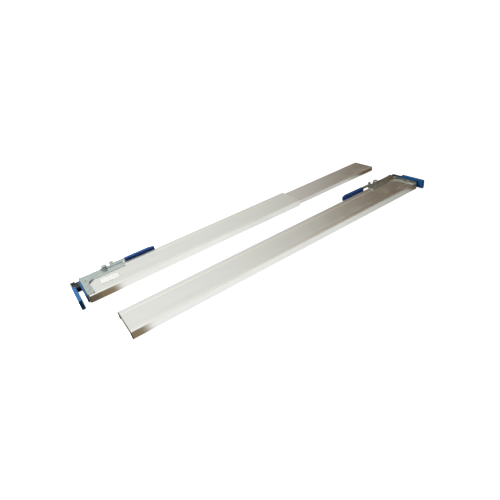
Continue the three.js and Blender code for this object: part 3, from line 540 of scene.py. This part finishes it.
def wire_surface(path):
    """A round wire along path[v, xyz]: c(v) + WIRE (cos u n + sin u t x n), where each normal n is the one
    before it with its part along the new tangent t taken away, so the section doesn't twist."""
    tangent = np.gradient(path, axis=0)
    tangent /= np.linalg.norm(tangent, axis=1, keepdims=True)
    normal = np.empty_like(path)
    normal[0] = (0, 0, 1)
    for k in range(1, len(path)):
        kept = normal[k - 1] - tangent[k] * (normal[k - 1] @ tangent[k])
        normal[k] = kept / np.linalg.norm(kept)
    side = np.cross(tangent, normal)
    u = np.linspace(0, 2 * np.pi, WIRE_SIDES, endpoint=False)[None, :, None]
    return path[:, None] + WIRE * (np.cos(u) * normal[:, None] + np.sin(u) * side[:, None])


print("wire of", round(2000 * WIRE, 2), "mm")

# %% [markdown]
# The path is worked out about the stud's axis, in the order in which a spring winder bends it. Both legs leave
# the coil on a tangent, so their angles follow from where they have to arrive: the long one at the lever's
# hook, the short one over the hole in the shelf.

# %% Spring path
COIL_RADIUS, PITCH, TURNS = 0.0021, 0.00045, 2
LEG, FOOT_REACH, FOOT_BEND, FOOT_LENGTH = 0.010, 0.005, 0.0004, 0.0047
HOOK_CONTACT = (0.0077, 0.0035)
COIL_STEPS, LEG_STEPS, SHORT_STEPS, BEND_STEPS, FOOT_STEPS = 96, 24, 9, 8, 10


def polar(angle, distance, height):
    """Points at angles and distances round the stud's axis."""
    angle, distance, height = np.broadcast_arrays(angle, distance, height)
    return np.stack([distance * np.cos(angle), distance * np.sin(angle), height], axis=-1)


def spring_path(top, turn):
    """Long leg, coil, short leg and foot, about the stud's axis: straight tangent legs on both sides of a
    helix of COIL_RADIUS that rises PITCH a turn and ends WIRE below top."""
    contact = math.hypot(*HOOK_CONTACT)
    start = turn + math.atan2(HOOK_CONTACT[1], HOOK_CONTACT[0]) + math.acos(COIL_RADIUS / contact)
    end = math.pi - math.acos(COIL_RADIUS / FOOT_REACH) + TURNS * 2 * math.pi
    high = top - WIRE
    low = high - (end - start) / (2 * math.pi) * PITCH
    tip = polar(start - math.atan2(LEG, COIL_RADIUS), math.hypot(LEG, COIL_RADIUS), low)
    share = np.linspace(0, 1, COIL_STEPS)
    coil = polar(start + (end - start) * share, COIL_RADIUS, low + (high - low) * share)
    leg = tip + (coil[0] - tip) * np.linspace(0, 1, LEG_STEPS, endpoint=False)[:, None]
    knee = np.array([FOOT_BEND - FOOT_REACH, 0.0, high])
    short = coil[-1] + (knee - coil[-1]) * np.linspace(0, 1, SHORT_STEPS)[1:-1, None]
    quarter = np.linspace(0, np.pi / 2, BEND_STEPS)
    bend = knee + FOOT_BEND * np.stack([-np.sin(quarter), 0 * quarter, np.cos(quarter) - 1], axis=-1)
    foot = bend[-1] - np.linspace(0, FOOT_LENGTH, FOOT_STEPS)[1:, None] * np.array([0, 0, 1.0])
    return np.concatenate([leg, coil, short, bend, foot]), tip


print("coil across:", round(2000 * COIL_RADIUS, 2), "mm, pitch:", round(1000 * PITCH, 2), "mm")

# %% The two springs
LEVER_TURN = {"left": 0.0, "right": math.radians(1.5)}

for hand, mirror in (("left", 1), ("right", -1)):
    centre = centre_of(f"{hand}_pivot_stud")[0]
    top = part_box(f"{hand}_lever_spring")[1][2]
    path_points, tip = spring_path(top, LEVER_TURN[hand])
    axis = np.array([centre[0], centre[1], 0.0])
    flip = np.array([mirror, 1, 1])
    spring = closed_surface(f"{hand}_spring_wire", wire_surface(path_points * flip + axis), wire_steel)
    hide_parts(f"{hand}_lever_spring")
    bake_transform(spring)

# %% [markdown]
# ## Studio
# Steel shows whatever stands around it, so the surroundings decide how the webs shade from one end to the
# other. The room is given as a world colour that depends on direction. Its wall is white on most sides and
# brown past the far ends, darker still low down there. Its ceiling is bright, and a little brown on the brown
# side. The Light Path node tells the rays apart: mirror-like rays see this room, soft ones a plain grey that
# fills the shadows, and the camera sees white.

# %% Tones of the room
WALL_BY_ANGLE = [
    (0, (0.080, 0.045, 0.017)), (31, (0.100, 0.058, 0.024)), (37, (0.140, 0.082, 0.035)),
    (42, (0.250, 0.190, 0.125)), (48, (0.47, 0.450, 0.400)), (56, (0.67, 0.672, 0.635)),
    (66, (0.80, 0.81, 0.78)), (80, (0.88, 0.89, 0.86)), (118, (0.90, 0.91, 0.88)),
    (180, (0.80, 0.82, 0.80)),
]
CEILING, BROWN_CEILING = (1.20, 1.20, 1.18), (1.10, 0.98, 0.80)
SOFT_ROOM, WHITE = (0.16, 0.16, 0.17), (1.0, 1.0, 1.0)
LOW_BROWN = (0.040, 0.020, 0.006)
LOW_FADE, CEILING_FADE = (0.33, 0.49), (0.64, 0.84)
LOW_SIDE, CEILING_SIDE = (40 / 180, 49 / 180), (38 / 180, 60 / 180)
print("wall tones at angles:", [angle for angle, _ in WALL_BY_ANGLE])

# %% [markdown]
# A world shader gets the direction of each ray. Its height above the horizon, from 0 to 1, separates the wall
# from the ceiling. Its angle from +x, as a share of half a turn and the same to both sides, says which part of
# the wall it meets. All borders between tones are soft, as in a real room seen in brushed metal.

# %% Surroundings
world = bpy.data.worlds.new("studio")
bpy.context.scene.world = world
world.use_nodes = True
sky = world.node_tree
direction = add_node(sky, "ShaderNodeTexCoord")
parts = add_node(sky, "ShaderNodeSeparateXYZ")
join(sky, direction.outputs["Generated"], parts.inputs[0])
height = parts.outputs[2]
angle = maths(sky, "ABSOLUTE", maths(sky, "ARCTAN2", parts.outputs[1], parts.outputs[0]))
turn_share = maths(sky, "DIVIDE", angle, math.pi)


def fade(factor, limits, start=1.0):
    """Start, 1 or 0, below the first limit, and the other of the two above the second."""
    return ramp(sky, factor, [(limits[0], start), (limits[1], 1.0 - start)])


wall = ramp(sky, turn_share, [(a / 180, colour) for a, colour in WALL_BY_ANGLE])
low_brown_side = maths(sky, "MULTIPLY", fade(height, LOW_FADE), fade(turn_share, LOW_SIDE))
wall = blend_colours(sky, low_brown_side, wall, LOW_BROWN)
ceiling = blend_colours(sky, fade(turn_share, CEILING_SIDE), CEILING, BROWN_CEILING)
room = blend_colours(sky, fade(height, CEILING_FADE, start=0.0), wall, ceiling)
ray = add_node(sky, "ShaderNodeLightPath")
room = blend_colours(sky, ray.outputs["Is Diffuse Ray"], room, SOFT_ROOM)
seen = blend_colours(sky, ray.outputs["Is Camera Ray"], room, WHITE)
join(sky, seen, sky.nodes["Background"].inputs["Color"])
print("world:", world.name, "with", len(sky.nodes), "nodes")

# %% [markdown]
# ## Bench
# A white sheet lies on the bench under the middle of the slides, so the side flanges mirror white there and
# brown towards the ends. Beside the left slide's drawn-out end the bench is lighter again. Each tone belongs to
# a place along x, in metres.

# %% Tones of the bench
SHEET_FROM, SHEET_TO, SHEET_FADE = -0.194, 0.217, 0.011
DARK_LEFT, DARK_RIGHT = (0.10, 0.075, 0.045), (0.14, 0.095, 0.052)
SHEET_TONES = [
    (-0.236, DARK_LEFT), (-0.226, (0.15, 0.112, 0.070)), (-0.217, (0.27, 0.190, 0.110)),
    (SHEET_FROM - SHEET_FADE, (0.28, 0.215, 0.14)), (SHEET_FROM, (1.05, 1.06, 1.04)),
    (-0.062, (1.05, 1.06, 1.04)), (0.004, (0.94, 0.95, 0.93)),
    (0.082, (0.87, 0.88, 0.85)), (0.103, (0.78, 0.79, 0.76)),
    (0.147, (0.66, 0.665, 0.64)), (0.191, (0.52, 0.525, 0.50)), (SHEET_TO, (0.50, 0.49, 0.45)),
    (SHEET_TO + SHEET_FADE, DARK_RIGHT),
]
BESIDE_LEFT, BESIDE_AMOUNT = (0.80, 0.80, 0.78), 0.75
BESIDE_SHARES = [(0.085, 0.0), (0.110, 1.0), (0.195, 1.0), (0.207, 0.0)]
print("white sheet from", round(1000 * SHEET_FROM), "to", round(1000 * SHEET_TO), "mm")

# %% [markdown]
# The bench is one large plane, a hair below the slides. Its tones are Color Ramps over x. A ramp runs from 0 to
# 1, so half a metre is added to x first.

# %% Floor and white sheet
HALF_METRE = 0.5
FLOOR_SIZE, FLOOR_DROP = 14, 0.0002

bpy.ops.mesh.primitive_plane_add(size=FLOOR_SIZE)
floor = bpy.context.object
floor.name = "floor"
floor.location = (0, 0, -FLOOR_DROP)
floor_material = bpy.data.materials.new("white_bench")
floor_material.use_nodes = True
bench = floor_material.node_tree
bench.nodes.remove(bench.nodes["Principled BSDF"])
where = add_node(bench, "ShaderNodeTexCoord")
along = add_node(bench, "ShaderNodeSeparateXYZ")
join(bench, where.outputs["Object"], along.inputs[0])
share = maths(bench, "ADD", along.outputs[0], HALF_METRE)
sheet = ramp(bench, share, [(HALF_METRE + x, tone) for x, tone in SHEET_TONES])
beside = maths(bench, "MULTIPLY", maths(bench, "GREATER_THAN", along.outputs[1], 0.0),
               ramp(bench, share, [(HALF_METRE + x, part) for x, part in BESIDE_SHARES]))
sheet = blend_colours(bench, maths(bench, "MULTIPLY", beside, BESIDE_AMOUNT), sheet, BESIDE_LEFT)
print("floor:", floor.name)

# %% [markdown]
# The camera sees the bench as a matt white that glows enough to leave only a faint shadow. Right under the
# slides it must not glow, or light would leak out of their open ends, so each slide gets a footprint.

# %% Footprints
UNDER_INSET = 0.0006


def footprint(hand):
    """1 on the bench under a slide's channel and bracket, 0 outside: near enough to their centre both ways."""
    boxes = [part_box(f"{hand}_{piece}") for piece in ("support_channel", "latch_bracket")]
    low = np.min([box[0] for box in boxes], axis=0)
    high = np.max([box[1] for box in boxes], axis=0)
    inside = []
    for k in (0, 1):
        distance = maths(bench, "SUBTRACT", along.outputs[k], float(low[k] + high[k]) / 2)
        reach = float(high[k] - low[k]) / 2 - UNDER_INSET
        inside.append(maths(bench, "LESS_THAN", maths(bench, "ABSOLUTE", distance), reach))
    return maths(bench, "MULTIPLY", *inside)


under = maths(bench, "MAXIMUM", footprint("left"), footprint("right"))
print("footprint inset:", round(1000 * UNDER_INSET, 2), "mm")

# %% [markdown]
# Three kinds of ray meet the bench, and the Light Path node picks a shader for each: mirror-like rays see the
# sheet and its tones, soft ones a plain grey, and the camera the glowing matt white.

# %% Bench shader
GLOW = 0.93
MATT_WHITE, SOFT_BENCH = (0.9, 0.9, 0.9, 1), (0.16, 0.155, 0.15, 1)

ray = add_node(bench, "ShaderNodeLightPath")
mirrored = add_node(bench, "ShaderNodeEmission", strength=1.0)
join(bench, sheet, mirrored.inputs["Color"])
bounced = add_node(bench, "ShaderNodeEmission", strength=1.0, color=SOFT_BENCH)
matt = add_node(bench, "ShaderNodeBsdfDiffuse", color=MATT_WHITE)
glow = add_node(bench, "ShaderNodeEmission")
join(bench, maths(bench, "MULTIPLY", maths(bench, "SUBTRACT", 1.0, under), GLOW), glow.inputs["Strength"])
seen_directly = add_node(bench, "ShaderNodeAddShader")
join(bench, matt.outputs[0], seen_directly.inputs[0])
join(bench, glow.outputs[0], seen_directly.inputs[1])
seen_otherwise = add_node(bench, "ShaderNodeMixShader")
join(bench, ray.outputs["Is Glossy Ray"], seen_otherwise.inputs[0])
join(bench, bounced.outputs[0], seen_otherwise.inputs[1])
join(bench, mirrored.outputs[0], seen_otherwise.inputs[2])
surface = add_node(bench, "ShaderNodeMixShader")
join(bench, ray.outputs["Is Camera Ray"], surface.inputs[0])
join(bench, seen_otherwise.outputs[0], surface.inputs[1])
join(bench, seen_directly.outputs[0], surface.inputs[2])
join(bench, surface.outputs[0], bench.nodes["Material Output"].inputs["Surface"])
floor.data.materials.append(floor_material)
print("bench material:", floor_material.name, "with", len(bench.nodes), "nodes")

# %% [markdown]
# ## Key lamp
# One square softbox stands behind the left latch and gives the plastics their light and dark sides. It is
# hidden from mirror-like rays, because the steel already has all its light from the room. A light shines along
# its own -z, so its angles follow from the line to the point it is aimed at.

# %% Key lamp
KEY_PLACE, KEY_AIM = (-0.42, 0.22, 0.42), (-0.2, 0.05, 0.0)
KEY_SIZE, KEY_POWER = 0.25, 3.2

light = bpy.data.lights.new("key", "AREA")
light.size, light.energy = KEY_SIZE, KEY_POWER
key = bpy.data.objects.new("key", light)
key.location = KEY_PLACE
line = np.array(KEY_AIM) - np.array(KEY_PLACE)
key.rotation_euler = (math.acos(-line[2] / np.linalg.norm(line)), 0, math.atan2(-line[0], line[1]))
key.visible_glossy = False
scene = bpy.context.scene
scene.collection.objects.link(key)
scene.view_settings.view_transform = "Standard"
scene.view_settings.look = "None"
print("key lamp at", KEY_PLACE, "with", KEY_POWER, "W")
